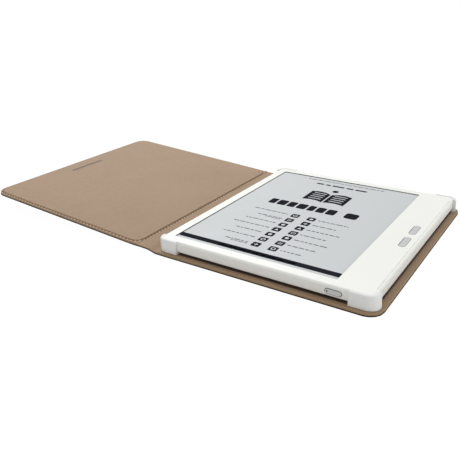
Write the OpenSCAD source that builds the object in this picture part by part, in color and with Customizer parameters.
// Seven-inch e-reader with two page keys, held by four corner clips in an open folio cover.
// Frame: the origin is on the cover's resting face, under the middle of the reader.
// +X points to the page keys, +Y up the page and +Z out of the screen.

/* [Reader body] */
// Width of the reader, across the page
body_w = 137; // [125:1:165]
// Height of the page side of the reader
body_d = 156; // [145:1:188]
// Thickness of the reader
body_t = 7.1; // [6.9:0.1:9]
// Radius of the reader's corners, seen from above
body_r = 4.5; // [3.5:0.5:7]
// Rounding of the front's outer edge
front_edge_r = 1.2; // [0.6:0.1:1.3]
// Rounding of the back's outer edge
back_edge_r = 1.0; // [0.6:0.1:1.5]
// Thickness of the front frame
bezel_t = 1.5; // [1.4:0.1:1.8]
// Wall of the back shell
shell_wall = 1.2; // [1:0.1:1.6]
// Floor of the back shell
shell_floor = 1.0; // [0.8:0.1:1.2]
// Thickness of the front frame's locating rim
rim_t = 0.9; // [0.7:0.1:1.1]

/* [Screen] */
// Width of the window in the front frame
window_w = 107.6; // [95:0.1:112]
// Height of the window in the front frame
window_d = 142.8; // [120:0.1:143]
// Border on the left and at the bottom of the window
window_border = 6.6; // [6.4:0.1:8]
// Thickness of the front frame's lip over the screen
lip_t = 0.45; // [0.4:0.05:0.5]
// Thickness of the foam gasket under the lip
gasket_t = 0.15; // [0.1:0.05:0.2]
// Width of the gasket and of the screen's hidden edge
screen_hidden_edge = 1.5; // [1.2:0.1:1.8]
// Thickness of the touch sheet
touch_t = 0.5; // [0.4:0.1:0.6]
// Thickness of the front light's guide
guide_t = 0.5; // [0.4:0.1:0.6]
// Thickness of the paper-like display panel
panel_t = 0.9; // [0.7:0.1:1]
// Thickness of the metal middle frame
chassis_t = 0.5; // [0.4:0.1:0.7]

/* [Page keys] */
// Width of a page key's slot
key_slot_w = 4.4; // [3.6:0.1:5]
// Length of a page key's slot
key_slot_l = 14.7; // [12:0.1:17]
// Distance between the middles of the two page keys
key_pitch = 19.2; // [18.6:0.1:24]
// Distance from the right edge to the middle of the page keys
key_inset = 7.3; // [7:0.1:10]
// Travel of a page key
key_travel = 0.25; // [0.15:0.05:0.25]
// Gap around a page key
key_gap = 0.25; // [0.1:0.05:0.35]

/* [Power button] */
// Length of the power button's slot
power_slot_l = 9.6; // [7:0.1:12]
// Height of the power button's slot
power_slot_h = 3.1; // [2.2:0.1:3.1]
// Distance from the right edge to the middle of the power button
power_inset = 21.9; // [20:0.1:30]
// Travel of the power button
power_travel = 0.4; // [0.2:0.05:0.5]

/* [Ports] */
// Distance of the charging socket from the middle of the reader
usb_x = 20; // [18.5:0.5:22]
// Distance of the card tray from the middle of the reader
tray_x = 42; // [41:0.5:44]

/* [Battery] */
// Width of the battery
battery_w = 70; // [50:1:72]
// Height of the battery
battery_d = 96; // [60:1:100]
// Thickness of the battery
battery_t = 2.5; // [2:0.1:2.6]

/* [Cover] */
// Thickness of the outer leather
skin_t = 0.5; // [0.4:0.1:0.7]
// Thickness of the stiff boards
board_t = 0.9; // [0.7:0.1:1.2]
// Thickness of the inner leather
lining_t = 0.4; // [0.3:0.1:0.5]
// Thickness of the lining's edge, turned down round the boards
turned_edge = 0.6; // [0.5:0.1:1]
// Cover left showing beyond the reader at the near and far sides
cover_margin_y = 4; // [3:0.5:8]
// Cover left showing beyond the reader on the right
cover_margin_x = 4.2; // [3:0.1:8]
// Radius of the cover's corners
cover_r = 9; // [7:0.5:14]
// Length of the flap beyond the width of the reader
flap_extra = 3.5; // [2:0.5:8]
// Thickness of the foam under the flap's lining
padding_t = 0.5; // [0.2:0.1:0.6]
// Distance from the flap's edge to its stitched seam
seam_inset = 2; // [1.8:0.1:6]
// Thickness of the stiffener in the spine
stiffener_t = 0.4; // [0.3:0.1:0.6]
// Angle of the spine above flat, as it lies open
spine_tilt = 7.8; // [4:0.1:14]
// Angle of the flap above flat, as it lies open
flap_tilt = 4; // [1:0.1:8]

/* [Cradle] */
// Thickness of the cradle's floor under the reader
cradle_floor_t = 1.35; // [1:0.05:2]
// Wall of a corner clip
clip_wall = 1.4; // [1.2:0.1:2]
// Length of a corner clip along the near and far sides
clip_l = 13.2; // [10:0.1:15]
// Length of a corner clip along the left and right sides
clip_d = 5.5; // [5:0.1:11]

/* [Hidden] */
$fn = 64;
eps = 0.01;

// Fits and clearances
fit = 0.1;             // between parts that only locate each other
close_gap = 0.15;      // between the closed flap and the clips
fold_clear = 0.25;     // between the inner layers when a fold is closed
skin_gap = 0.3;        // from a fold's axis to the outer leather
strip_slack = 0.02;    // between a fold's strip and the piece that turns
spine_gap = 0.6;       // from a fold's axis to the spine's inner layers
clip_proud = 0.1;      // clips above the reader's front
adhesive_t = 0.15;     // double-sided tape

// Heights in the back of the cover, and in the reader
cover_t = skin_t + board_t + lining_t;
spine_t = skin_t + stiffener_t + lining_t;
flap_t = cover_t + padding_t;
cradle_z = cover_t + adhesive_t;
body_z = cradle_z + cradle_floor_t;
front_z = body_z + body_t;
seam_z = front_z - bezel_t;
sheet_z = front_z - lip_t - gasket_t;
guide_z = sheet_z - touch_t;
panel_z = guide_z - guide_t;
chassis_z = panel_z - panel_t;
inner_z = body_z + shell_floor;
room_z = chassis_z - chassis_t;
clip_z = front_z + clip_proud;
cradle_inset = 12;     // from the reader's edge to the cradle's floor
lip_reach = 0.75;      // of a clip over the reader's edge
cradle_r = 5;
clip_foot_e = 0.4;     // rounding of a clip's foot

// Places on the reader
half_w = body_w / 2;
half_d = body_d / 2;
window_x = -half_w + window_border + window_w / 2;
line_w = 0.3;            // groove beside the right edge
line_t = 0.25;
line_l = body_d - 2 * clip_d - 4;
window_y = -half_d + window_border + window_d / 2;
sheet_w = window_w + 2 * screen_hidden_edge;
sheet_d = window_d + 2 * screen_hidden_edge;
sheet_y0 = window_y - sheet_d / 2;
bar_l = 100;
bar_w = 1.2;
rim_out = shell_wall + fit;
key_x = half_w - key_inset;
key_ys = [-key_pitch / 2, key_pitch / 2];
key_flange = 0.8;
key_flange_t = 0.45;
key_rest_gap = 0.05;    // above and below a key at the ends of its travel
key_dish_r = 90;
key_dish = 0.3;
key_proud = 0.1;
key_board_t = 0.6;
key_board_w = 10;
key_board_offset = 1;   // of the key board's middle, away from the right edge
key_board_margin = 3;   // of the key board beyond the keys' slots
dome_t = 0.3;
dome_r = 1.8;
dome_top_r = 1.4;
key_base_z = chassis_z + key_board_t + dome_t + key_travel + key_rest_gap;
key_pocket_z = key_base_z + key_flange_t + key_rest_gap;
power_x = half_w - power_inset;
power_z = body_z + 3;
power_proud = 0.3;
power_gap = 0.2;
power_flange = 0.7;
power_flange_t = 0.6;
power_in = half_d - shell_wall - 0.05;
lens_r = 0.5;
lens_x = power_x - power_slot_l / 2 + 1.4;
port_z = body_z + 2.7;
usb_w = 8.94;
usb_h = 3.16;
usb_l = 7.3;
usb_shell = 0.25;
tongue_w = 6.6;
tongue_t = 0.7;
foot_w = 2.4;
foot_t = 0.2;
mic_x = usb_x + 9.5;
mic_r = 0.5;
mic_w = 3.2;
tray_w = 12.6;
tray_l = 17;
tray_t = 1.2;
tray_face_w = 14.4;
tray_face_h = 2.4;
tray_face_t = 1.2;
tray_end = 0.6;
tray_z = port_z - tray_t / 2;
tray_y = half_d - fit;
tray_pin_r = 0.4;
tray_pin_gap = 2;
card_w = 11;
card_l = 15;
card_t = 0.7;
socket_wall = 0.25;
board_edge = 4.5;       // from the reader's edges to the main board
board_x = usb_x - 7;
board_w = half_w - board_edge - board_x;
board_d = body_d - 2 * board_edge;
board_z = inner_z + 0.3;
board_th = 0.7;
board_top = board_z + board_th;
shield_w = 26;
shield_d = 40;
shield_t = 1.1;
shield_wall = 0.2;
shield_x = board_x + 5;
shield_y = -2;
switch_w = 4;
switch_d = 3.4;
switch_t = 1.6;
plunger_w = 1.6;
plunger_l = 0.6;
plunger_t = 1;
sensor_w = 3;
sensor_x = half_w - 12;
sensor_y = 30;
ribbon_w = 16;
ribbon_x = board_x + 12;
ribbon_t = 0.2;
ribbon_l = 9;
ribbon_out = 0.8;       // from the display's near edge to the ribbon's bend
lead_w = 0.8;
lead_t = 0.6;
lead_pitch = 1.4;
lead_y = 20;            // from the battery's middle to its leads
tape_w = 10;
tape_inset = 6;
antenna_w = 36;
antenna_d = 6;
antenna_t = 0.25;
antenna_inset = 3;
speaker_w = 18;
speaker_d = 9;
speaker_t = 2.6;
speaker_inset = 24;     // from the left edge to the first speaker's middle
speaker_pitch = 30;
speaker_xs = [-half_w + speaker_inset, -half_w + speaker_inset + speaker_pitch];
speaker_holes = 5;
speaker_hole_r = 0.6;
speaker_hole_pitch = 2.4;
battery_inset_x = 6.2;
battery_inset_y = 12;
battery_r = 2;
battery_x = -half_w + battery_inset_x + battery_w / 2;
battery_y = -half_d + battery_inset_y + battery_d / 2;

// Screws and their bosses, in the border strips beside the screen
boss_r = 1.5;
screw_r = 0.7;
head_r = 1.2;
head_t = 0.55;
boss_inset = 3.75;
boss_clear = 0.3;
screw_floor = 0.4;      // of a boss's blind hole above the shell's floor
screw_fit = 0.02;
screw_end_y = half_d - 20;
screw_spots = [for (x = [-1, 1], y = [-1, 0, 1]) [x * (half_w - boss_inset), y * screw_end_y]];

// Folds: the axes lie in the middle of the outer leather
spine_crown = 0.85;    // room for the leather's soft bulge when the cover is closed
fold_reach = clip_wall + fit + fold_clear + spine_crown + spine_t - skin_t / 2;
fold_a = [-half_w - fold_reach, 0, skin_t / 2];
spine_span = clip_z + close_gap + flap_t - skin_t;
fold_b = fold_a + spine_span * [-cos(spine_tilt), 0, sin(spine_tilt)];
inner_gap = spine_t - skin_t / 2 + fold_clear;
flap_l = body_w + flap_extra;
back_x1 = half_w + cover_margin_x;
back_y1 = half_d + cover_margin_y;
seam_groove_w = 1.1;
seam_groove_t = 0.2;
seam_r = 6;
seam_start = inner_gap + fit;
slot_inset = 13;       // from the flap's free edge to the finger groove
slot_u = flap_l - slot_inset;
slot_y = -1.7;
slot_l = key_pitch + key_slot_l - 2.9;
slot_w = 2;
slot_t = 0.35;
magnet_l = 24;
magnet_w = 5;
magnet_t = 0.6;
magnet_u = slot_u;

// Outline of a rectangle with round corners, centred
module round_rect(w, d, r) {
    square([w, d - 2 * r], center = true);
    square([w - 2 * r, d], center = true);
    for (x = [-1, 1], y = [-1, 1]) {
        translate([x * (w / 2 - r), y * (d / 2 - r)]) circle(r);
    }
}

// Plate with round corners, centred, standing on z
module plate(w, d, h, r, z) {
    translate([0, 0, z]) linear_extrude(h) round_rect(w, d, r);
}

// Rectangular block given by its low corner and size
module block(low, size) {
    translate(low) cube(size);
}

// Slot shape with round ends, long along Y
module slot_outline(w, l) {
    square([w, l - w], center = true);
    for (y = [-1, 1]) {
        translate([0, y * (l - w) / 2]) circle(w / 2);
    }
}

// Half-section of a rounded slab's rim, from the corner's centre outwards
module rim_section(h, r, low_e, high_e) {
    square([r - max(low_e, high_e), h]);
    translate([0, low_e]) square([r, h - low_e - high_e]);
    square([r - low_e, h - high_e]);
    translate([0, low_e]) square([r - high_e, h - low_e]);
    translate([r - low_e, low_e]) circle(low_e);
    translate([r - high_e, h - high_e]) circle(high_e);
}

// Slab with round corners whose lower and upper rims are rounded too
module pebble(w, d, h, r, low_e, high_e) {
    block([-w / 2 + r, -d / 2 + r, 0], [w - 2 * r, d - 2 * r, h]);
    for (i = [0:3]) {
        along = i % 2 == 0 ? d : w;
        out = i % 2 == 0 ? w : d;
        rotate([0, 0, 90 * i]) {
            translate([out / 2 - r, along / 2 - r, 0])
                rotate([90, 0, 0])
                linear_extrude(along - 2 * r)
                rim_section(h, r, low_e, high_e);
            translate([out / 2 - r, along / 2 - r, 0])
                rotate_extrude(angle = 90)
                rim_section(h, r, low_e, high_e);
        }
    }
}

// The reader's whole outer shape, grown all round by g
module reader_shape(g = 0) {
    translate([0, 0, body_z - g])
        pebble(
            body_w + 2 * g, body_d + 2 * g, body_t + 2 * g,
            body_r + g, back_edge_r + g, front_edge_r + g
        );
}

// Frames of the two folds, each turned as it lies open; -X runs away from the reader
module on_spine() {
    translate(fold_a) rotate([0, spine_tilt, 0]) children();
}

module on_flap() {
    translate(fold_b) rotate([0, flap_tilt, 0]) children();
}

// ---- Back of the cover ----

// Outline of the back: square at the fold, round at the two free corners
module back_outline(start, inset) {
    r = cover_r - inset;
    x0 = fold_a[0] + start;
    w = back_x1 - inset - x0;
    d = 2 * (back_y1 - inset);
    translate([x0, -d / 2]) square([w - r, d]);
    translate([x0, -d / 2 + r]) square([w, d - 2 * r]);
    for (y = [-1, 1]) {
        translate([x0 + w - r, y * (d / 2 - r)]) circle(r);
    }
}

module back_outer_leather() {
    color("#3d332d") linear_extrude(skin_t) back_outline(skin_gap, 0);
}

module back_board() {
    color("#8a7f70") translate([0, 0, skin_t]) linear_extrude(board_t) back_outline(inner_gap, turned_edge);
}

module back_lining() {
    color("#a9907a") difference() {
        translate([0, 0, skin_t]) linear_extrude(board_t + lining_t) back_outline(inner_gap, 0);
        linear_extrude(skin_t + board_t) back_outline(-1, turned_edge);
    }
}

// Strip of leather between two edges of an upright section, as deep as the cover
module fold_strip(points) {
    translate([0, back_y1, 0])
        rotate([90, 0, 0])
        linear_extrude(2 * back_y1)
        polygon(points);
}

// Section points of a layer of the spine or the flap, seen from the side
function turned(p, a, from) = [
    from[0] + p[0] * cos(a) + p[1] * sin(a),
    from[2] - p[0] * sin(a) + p[1] * cos(a)
];

module back_fold_leather() {
    color("#3d332d") fold_strip([
        [fold_a[0] + skin_gap, 0],
        [fold_a[0] + skin_gap, skin_t],
        turned([-skin_gap + strip_slack, skin_t / 2], spine_tilt, fold_a),
        turned([-skin_gap + strip_slack, -skin_t / 2], spine_tilt, fold_a)
    ]);
}

module back_fold_lining() {
    top = spine_t - skin_t / 2;
    color("#a9907a") fold_strip([
        [fold_a[0] + inner_gap, cover_t - lining_t],
        [fold_a[0] + inner_gap, cover_t],
        turned([-spine_gap + strip_slack, top], spine_tilt, fold_a),
        turned([-spine_gap + strip_slack, top - lining_t], spine_tilt, fold_a)
    ]);
}

// ---- Spine of the cover ----

module spine_layer(z, t, gap_a, gap_b, margin) {
    on_spine() block(
        [-spine_span + gap_b, -back_y1 + margin, z - skin_t / 2],
        [spine_span - gap_a - gap_b, 2 * (back_y1 - margin), t]
    );
}

module spine_outer_leather() {
    color("#3d332d") spine_layer(0, skin_t, skin_gap, skin_gap, 0);
}

module spine_stiffener() {
    color("#8a7f70") spine_layer(skin_t, stiffener_t, spine_gap, spine_gap, turned_edge);
}

module spine_lining() {
    color("#a9907a") spine_layer(skin_t + stiffener_t, lining_t, spine_gap, spine_gap, 0);
}

module flap_fold_leather() {
    half = skin_t / 2;
    color("#3d332d") fold_strip([
        turned([-spine_span + skin_gap - strip_slack, -half], spine_tilt, fold_a),
        turned([-spine_span + skin_gap - strip_slack, half], spine_tilt, fold_a),
        turned([-skin_gap + strip_slack, half], flap_tilt, fold_b),
        turned([-skin_gap + strip_slack, -half], flap_tilt, fold_b)
    ]);
}

module flap_fold_lining() {
    spine_top = spine_t - skin_t / 2;
    flap_top = cover_t - skin_t / 2;
    color("#a9907a") fold_strip([
        turned([-spine_span + spine_gap, spine_top - lining_t], spine_tilt, fold_a),
        turned([-spine_span + spine_gap, spine_top], spine_tilt, fold_a),
        turned([-inner_gap + strip_slack, flap_top], flap_tilt, fold_b),
        turned([-inner_gap + strip_slack, flap_top - lining_t], flap_tilt, fold_b)
    ]);
}

// ---- Flap ----

// Outline of the flap: square at the fold, round at the two free corners
module flap_outline(start, inset) {
    r = cover_r - inset;
    l = flap_l - inset - start;
    d = 2 * (back_y1 - inset);
    translate([-start - l + r, -d / 2]) square([l - r, d]);
    translate([-start - l, -d / 2 + r]) square([l, d - 2 * r]);
    for (y = [-1, 1]) {
        translate([-start - l + r, y * (d / 2 - r)]) circle(r);
    }
}

// Outline of the padded panel inside the stitched seam
module padded_outline(grow) {
    l = flap_l - seam_inset - seam_start;
    d = 2 * (back_y1 - seam_inset);
    translate([-seam_start - l / 2, 0]) round_rect(l + 2 * grow, d + 2 * grow, seam_r + grow);
}

// Place of the finger groove near the free edge
module slot_place() {
    translate([-slot_u, slot_y]) children();
}

module flap_layer(z, t) {
    translate([0, 0, z - skin_t / 2]) linear_extrude(t) children();
}

module flap_outer_leather() {
    color("#3d332d") on_flap() flap_layer(0, skin_t) flap_outline(skin_gap, 0);
}

// Space in the board for the magnet that holds the cover shut
module magnet_block(g) {
    block(
        [-magnet_u - magnet_w / 2 - g, -magnet_l / 2 - g, skin_t / 2 + board_t - magnet_t - g],
        [magnet_w + 2 * g, magnet_l + 2 * g, magnet_t + 2 * g]
    );
}

module flap_board() {
    color("#8a7f70") on_flap() difference() {
        flap_layer(skin_t, board_t) flap_outline(inner_gap, turned_edge);
        magnet_block(fit / 2);
    }
}

module flap_magnet() {
    color("#9a9ca0") on_flap() magnet_block(0);
}

module flap_foam() {
    color("#d8cdbf") on_flap() difference() {
        flap_layer(skin_t + board_t, padding_t) padded_outline(-lining_t);
        flap_layer(0, flap_t) slot_place() slot_outline(slot_w + 2 * lining_t, slot_l + 2 * lining_t);
    }
}

module flap_lining() {
    color("#a9907a") on_flap() difference() {
        union() {
            flap_layer(skin_t, board_t + lining_t) flap_outline(inner_gap, 0);
            flap_layer(skin_t + board_t, lining_t + padding_t) padded_outline(0);
        }
        flap_layer(0, skin_t + board_t) flap_outline(-1, turned_edge);
        difference() {
            flap_layer(skin_t + board_t - eps, padding_t + eps) padded_outline(-lining_t);
            flap_layer(0, flap_t) slot_place() slot_outline(slot_w + 2 * lining_t, slot_l + 2 * lining_t);
        }
        flap_layer(flap_t - slot_t, 1) slot_place() slot_outline(slot_w, slot_l);
        flap_layer(cover_t - seam_groove_t, 1) difference() {
            padded_outline(seam_groove_w - fit);
            padded_outline(0);
        }
    }
}

// ---- Cradle ----

// One corner of the reader's footprint, as long as a clip
module clip_corner(sx, sy) {
    g = clip_wall + fit;
    x0 = sx > 0 ? half_w - clip_l : -half_w - g;
    y0 = sy > 0 ? half_d - clip_d : -half_d - g;
    block([x0, y0, 0], [clip_l + g, clip_d + g, 2 * front_z]);
}

module cradle_tape() {
    w = body_w - 2 * cradle_inset - 2;
    d = body_d - 2 * cradle_inset - 2;
    color("#e8e4da") plate(w, d, adhesive_t, cradle_r - 1, cover_t);
}

module corner_cradle() {
    g = clip_wall + fit;
    floor_w = body_w - 2 * cradle_inset;
    floor_d = body_d - 2 * cradle_inset;
    arm = cradle_inset + 2;
    color("#e9e9e6") {
        plate(floor_w, floor_d, cradle_floor_t, cradle_r, cradle_z);
        intersection() {
            for (sx = [-1, 1], sy = [-1, 1]) {
                clip_corner(sx, sy);
            }
            difference() {
                translate([0, 0, cover_t])
                    pebble(
                        body_w + 2 * g, body_d + 2 * g, clip_z - cover_t,
                        body_r + g, clip_foot_e, front_edge_r
                    );
                reader_shape(fit);
                plate(body_w - 2 * lip_reach, body_d - 2 * lip_reach, 2, body_r - lip_reach, front_z - 1);
            }
        }
        // Arms from the cradle's floor to the clips
        for (sx = [-1, 1], sy = [-1, 1]) {
            ax = sx * (half_w - cradle_inset) - arm / 2;
            ay = sy * (half_d - cradle_inset) - arm / 2;
            block([ax, ay, cradle_z], [arm, arm, cradle_floor_t - fit]);
        }
    }
}

// ---- Shells of the reader ----

// Slots and holes through the shell's near and far walls
module power_slot(g) {
    translate([power_x, -half_d + shell_wall + 1, power_z])
        rotate([90, 0, 0])
        linear_extrude(shell_wall + 3)
        rotate([0, 0, 90])
        slot_outline(power_slot_h + 2 * g, power_slot_l + 2 * g);
}

module far_slot(x, w, h, g) {
    translate([x, half_d + 1, port_z])
        rotate([90, 0, 0])
        linear_extrude(shell_wall + 3)
        rotate([0, 0, 90])
        slot_outline(h + 2 * g, w + 2 * g);
}

module far_hole(x, z, r) {
    translate([x, half_d - shell_wall - 1, z]) rotate([-90, 0, 0]) cylinder(r = r, h = shell_wall + 3);
}

module back_shell() {
    color("#eceae4") difference() {
        union() {
            difference() {
                reader_shape();
                plate(body_w + 2, body_d + 2, bezel_t + 1, body_r, seam_z);
                plate(
                    body_w - 2 * shell_wall, body_d - 2 * shell_wall, body_t,
                    body_r - shell_wall, inner_z
                );
            }
            for (p = screw_spots) {
                translate([p[0], p[1], inner_z - eps]) cylinder(r = boss_r, h = room_z - inner_z + eps);
            }
        }
        for (p = screw_spots) {
            translate([p[0], p[1], inner_z + screw_floor]) cylinder(r = screw_r + screw_fit, h = body_t);
        }
        power_slot(0);
        far_slot(usb_x, usb_w, usb_h, fit);
        far_slot(tray_x, tray_face_w, tray_face_h, fit);
        far_hole(mic_x, port_z, mic_r);
        far_hole(tray_x + tray_face_w / 2 + tray_pin_gap, port_z, tray_pin_r);
        for (x = speaker_xs, i = [0:speaker_holes - 1]) {
            far_hole(x + (i - (speaker_holes - 1) / 2) * speaker_hole_pitch, port_z, speaker_hole_r);
        }
    }
}

module front_frame() {
    rim_w = body_w - 2 * rim_out;
    rim_d = body_d - 2 * rim_out;
    color("#f4f4ee") difference() {
        union() {
            difference() {
                reader_shape();
                plate(body_w + 2, body_d + 2, body_t + 2, body_r, seam_z - body_t - 2);
            }
            difference() {
                plate(rim_w, rim_d, seam_z - chassis_z + eps, body_r - rim_out, chassis_z);
                plate(
                    rim_w - 2 * rim_t, rim_d - 2 * rim_t, seam_z - chassis_z,
                    body_r - rim_out - rim_t, chassis_z - eps
                );
            }
        }
        translate([window_x, window_y, 0]) plate(window_w, window_d, 2 * front_z, 0.8, 0);
        translate([window_x, window_y, 0])
            plate(sheet_w + 2 * fit, sheet_d + 2 * fit, front_z - lip_t - seam_z + 1, 0.8, seam_z - 1);
        // Fine groove beside the rounded right edge
        block([half_w - front_edge_r - 2 * line_w, -line_l / 2, front_z - line_t], [line_w, line_l, 1]);
        // Channel for the light bar beside the screen's near edge
        block(
            [window_x - sheet_w / 2, sheet_y0 - bar_w - 3 * fit, seam_z - 1],
            [sheet_w, bar_w + 4 * fit, guide_z - seam_z + 1 + fit]
        );
        for (y = key_ys) {
            translate([key_x, y, 0]) {
                linear_extrude(2 * front_z) slot_outline(key_slot_w, key_slot_l);
                translate([0, 0, seam_z - 1]) linear_extrude(key_pocket_z - seam_z + 1)
                    slot_outline(key_slot_w + 2 * key_flange, key_slot_l + 2 * key_flange);
            }
        }
    }
}

// ---- Screen ----

module screen_layer(z, t, w = sheet_w, d = sheet_d) {
    translate([window_x, window_y, z]) linear_extrude(t) round_rect(w, d, 0.7);
}

module screen_gasket() {
    color("#2a2a2a") difference() {
        screen_layer(sheet_z, gasket_t);
        screen_layer(sheet_z - 1, 3, window_w + 0.4, window_d + 0.4);
    }
}

module touch_sheet() {
    color("#cfd4d6") screen_layer(guide_z, touch_t);
}

module light_guide() {
    color("#e4ecef") screen_layer(panel_z, guide_t);
}

module light_bar() {
    color("#f2e9b8") block(
        [window_x - bar_l / 2, sheet_y0 - bar_w, panel_z],
        [bar_l, bar_w, guide_t]
    );
}

module display_panel() {
    color("#d2d6d6") screen_layer(chassis_z, panel_t);
}

module display_ribbon() {
    y0 = sheet_y0 - ribbon_out;
    z1 = chassis_z + 2 * ribbon_t;
    color("#c98a3a") {
        block([ribbon_x, y0, board_top], [ribbon_w, ribbon_t, z1 - board_top]);
        block([ribbon_x, y0 + eps, z1 - ribbon_t], [ribbon_w, ribbon_out - eps, ribbon_t]);
        block([ribbon_x, y0 + eps, board_top], [ribbon_w, ribbon_l, ribbon_t]);
    }
}

// Openings in the middle frame: ribbon, charging socket, card tray and screws
module middle_frame() {
    w = body_w - 2 * shell_wall - 2 * fit;
    d = body_d - 2 * shell_wall - 2 * fit;
    color("#aeb2b6") difference() {
        plate(w, d, chassis_t, body_r - shell_wall - fit, room_z);
        block([ribbon_x - 1, sheet_y0 - ribbon_out - 0.5, room_z - 1], [ribbon_w + 2, 2, 3]);
        block([usb_x - usb_w / 2 - 0.5, half_d - usb_l - 1.5, room_z - 1], [usb_w + 1, 10, 3]);
        block([power_x - 6, -half_d, room_z - 1], [12, shell_wall + 3.4, 3]);
        for (p = screw_spots) {
            translate([p[0], p[1], room_z - 1]) cylinder(r = screw_r + fit, h = 3);
        }
    }
}

module frame_screws() {
    color("#6f7276") for (p = screw_spots) {
        translate([p[0], p[1], inner_z + screw_floor + fit])
            cylinder(r = screw_r, h = chassis_z - inner_z - screw_floor - fit + eps);
        translate([p[0], p[1], chassis_z]) difference() {
            cylinder(r = head_r, h = head_t);
            translate([0, 0, head_t / 2]) cylinder(r = 0.5, h = 1, $fn = 6);
        }
    }
}

// ---- Electronics ----

module main_board() {
    color("#1f5a3c") difference() {
        block([board_x, -half_d + board_edge, board_z], [board_w, board_d, board_th]);
        block(
            [usb_x - usb_w / 2 - 2 * fit, half_d - usb_l - 4 * fit, board_z - 1],
            [usb_w + 4 * fit, 20, 3]
        );
        for (p = screw_spots) {
            translate([p[0], p[1], board_z - 1]) cylinder(r = boss_r + boss_clear, h = 3);
        }
    }
}

module board_shield() {
    color("#b9bcc0") difference() {
        block([shield_x, shield_y - shield_d / 2, board_top], [shield_w, shield_d, shield_t]);
        block(
            [shield_x + shield_wall, shield_y - shield_d / 2 + shield_wall, board_top - eps],
            [shield_w - 2 * shield_wall, shield_d - 2 * shield_wall, shield_t - shield_wall + eps]
        );
    }
}

module magnet_sensor() {
    color("#26282b") block([sensor_x, sensor_y, board_top], [sensor_w, sensor_w / 2, sensor_w / 3]);
}

module battery() {
    color("#c9ccd0") translate([battery_x, battery_y, 0])
        plate(battery_w, battery_d, battery_t, battery_r, inner_z + adhesive_t);
}

module battery_tape() {
    color("#e8e4da") for (x = [-1, 1]) {
        block(
            [battery_x + x * battery_w / 4 - tape_w / 2, battery_y - battery_d / 2 + tape_inset, inner_z],
            [tape_w, battery_d - 2 * tape_inset, adhesive_t]
        );
    }
}

module battery_leads() {
    x0 = battery_x + battery_w / 2;
    color("#a33a2f") for (i = [0, 1, 2]) {
        block([x0, battery_y + lead_y + lead_pitch * i, board_top], [board_x + 3 - x0, lead_w, lead_t]);
    }
}

// A key's flange stays under the front frame; its top is a shallow dish
module page_key(y) {
    w = key_slot_w - 2 * key_gap;
    l = key_slot_l - 2 * key_gap;
    top = front_z + key_proud;
    color("#c4c5c6") translate([key_x, y, 0]) difference() {
        union() {
            translate([0, 0, key_base_z]) linear_extrude(top - key_base_z) slot_outline(w, l);
            translate([0, 0, key_base_z]) linear_extrude(key_flange_t)
                slot_outline(w + 2 * key_flange - 0.3, l + 2 * key_flange - 0.3);
        }
        translate([0, 0, top + key_dish_r - key_dish]) rotate([0, 90, 0])
            cylinder(r = key_dish_r, h = 4 * w, center = true, $fn = 256);
    }
}

module page_key_upper() {
    page_key(key_ys[1]);
}

module page_key_lower() {
    page_key(key_ys[0]);
}

module key_board() {
    l = key_pitch + key_slot_l + 2 * key_board_margin;
    color("#1f5a3c") difference() {
        block(
            [key_x - key_board_offset - key_board_w / 2, -l / 2, chassis_z],
            [key_board_w, l, key_board_t]
        );
        for (p = screw_spots) {
            translate([p[0], p[1], chassis_z - 1]) cylinder(r = head_r + boss_clear, h = 3);
        }
    }
}

module key_domes() {
    color("#c8c9cb") for (y = key_ys) {
        translate([key_x, y, chassis_z + key_board_t]) cylinder(r1 = dome_r, r2 = dome_top_r, h = dome_t);
    }
}

// Power button: a pill in the near wall with a flange inside and a light at its left end
module power_button() {
    w = power_slot_l - 2 * power_gap;
    h = power_slot_h - 2 * power_gap;
    out = half_d + power_proud;
    color("#d4d4d1") difference() {
        union() {
            translate([power_x, -power_in, power_z]) rotate([90, 0, 0])
                linear_extrude(out - power_in) rotate([0, 0, 90]) slot_outline(h, w);
            translate([power_x, -power_in + power_flange_t, power_z]) rotate([90, 0, 0])
                linear_extrude(power_flange_t) rotate([0, 0, 90])
                slot_outline(h - 0.2, w + 2 * power_flange);
        }
        translate([lens_x, -power_in + 2, power_z]) rotate([90, 0, 0]) cylinder(r = lens_r, h = 6);
    }
}

module power_light_lens() {
    color("#33373b") translate([lens_x, -power_in + power_flange_t, power_z])
        rotate([90, 0, 0])
        cylinder(r = lens_r, h = power_proud + shell_wall + power_flange_t);
}

module power_switch() {
    y0 = -power_in + power_flange_t + power_travel + fit;
    color("#8d9094") {
        block([power_x - switch_w / 2, y0 + plunger_l, board_top], [switch_w, switch_d, switch_t]);
        block([power_x - plunger_w / 2, y0, board_top + 0.3], [plunger_w, plunger_l + eps, plunger_t]);
    }
}

module charging_socket() {
    color("#b4b7ba") difference() {
        translate([usb_x, half_d - 0.2, port_z]) rotate([90, 0, 0]) linear_extrude(usb_l)
            rotate([0, 0, 90]) slot_outline(usb_h, usb_w);
        translate([usb_x, half_d, port_z]) rotate([90, 0, 0]) linear_extrude(usb_l - 1)
            rotate([0, 0, 90]) slot_outline(usb_h - 2 * usb_shell, usb_w - 2 * usb_shell);
    }
    // Tongue that carries the contacts
    color("#2b2d30")
        block(
            [usb_x - tongue_w / 2, half_d - usb_l + 0.5, port_z - tongue_t / 2],
            [tongue_w, usb_l - 1.4, tongue_t]
        );
    // Feet that hold it to the main board
    color("#b4b7ba") for (x = [-1, 1]) {
        block(
            [usb_x + x * (usb_w + foot_w) / 2 - foot_w / 2 - x * usb_shell, half_d - usb_l + 1, board_top],
            [foot_w, usb_l - 3, foot_t]
        );
    }
}

module microphone() {
    color("#c7b37a")
        block([mic_x - mic_w / 2, half_d - board_edge - mic_w + 1, board_top], [mic_w, mic_w, 1]);
}

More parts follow.
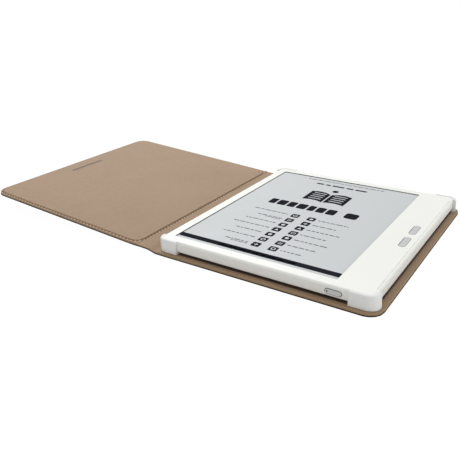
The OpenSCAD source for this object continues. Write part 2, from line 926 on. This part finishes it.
module card_tray() {
    color("#d8d8d4") difference() {
        union() {
            translate([tray_x, tray_y, port_z]) rotate([90, 0, 0]) linear_extrude(tray_face_t)
                rotate([0, 0, 90]) slot_outline(tray_face_h, tray_face_w);
            block(
                [tray_x - tray_w / 2, tray_y - tray_l, tray_z],
                [tray_w, tray_l - tray_face_t + eps, tray_t]
            );
        }
        block(
            [tray_x - card_w / 2 - fit, tray_y - tray_l + tray_end, tray_z + tray_t - card_t - fit],
            [card_w + 2 * fit, card_l + 2 * fit, 2]
        );
    }
}

module memory_card() {
    color("#1d1f22") block(
        [tray_x - card_w / 2, tray_y - tray_l + tray_end + fit, tray_z + tray_t - card_t - fit],
        [card_w, card_l, card_t]
    );
}

module card_socket() {
    top = tray_z + tray_t + fit;
    y0 = tray_y - tray_l - 3 * fit;
    w = tray_w + 2 * fit + 2 * socket_wall;
    l = tray_l - tray_face_t;
    color("#b4b7ba") difference() {
        block([tray_x - w / 2, y0 - socket_wall, board_top], [w, l - 0.6, top + socket_wall - board_top]);
        block(
            [tray_x - tray_w / 2 - fit, y0, board_top - 1],
            [tray_w + 2 * fit, l + 2, top - board_top + 1]
        );
    }
}

// A speaker's box, with its mouth against the far wall
module speaker(x) {
    color("#2f3236") block(
        [x - speaker_w / 2, half_d - shell_wall - fit - speaker_d, inner_z],
        [speaker_w, speaker_d, speaker_t]
    );
}

module speaker_left() {
    speaker(speaker_xs[0]);
}

module speaker_right() {
    speaker(speaker_xs[1]);
}

module radio_antenna() {
    color("#c98a3a")
        block(
            [battery_x - antenna_w / 2, -half_d + antenna_inset, inner_z],
            [antenna_w, antenna_d, antenna_t]
        );
}

back_outer_leather();
back_board();
back_lining();
back_fold_leather();
back_fold_lining();
spine_outer_leather();
spine_stiffener();
spine_lining();
flap_fold_leather();
flap_fold_lining();
flap_outer_leather();
flap_board();
flap_foam();
flap_lining();
flap_magnet();
cradle_tape();
corner_cradle();
back_shell();
front_frame();
screen_gasket();
touch_sheet();
light_guide();
light_bar();
display_panel();
display_ribbon();
middle_frame();
frame_screws();
main_board();
board_shield();
magnet_sensor();
battery();
battery_tape();
battery_leads();
page_key_upper();
page_key_lower();
key_board();
key_domes();
power_button();
power_light_lens();
power_switch();
charging_socket();
microphone();
card_tray();
card_socket();
memory_card();
speaker_left();
speaker_right();
radio_antenna();
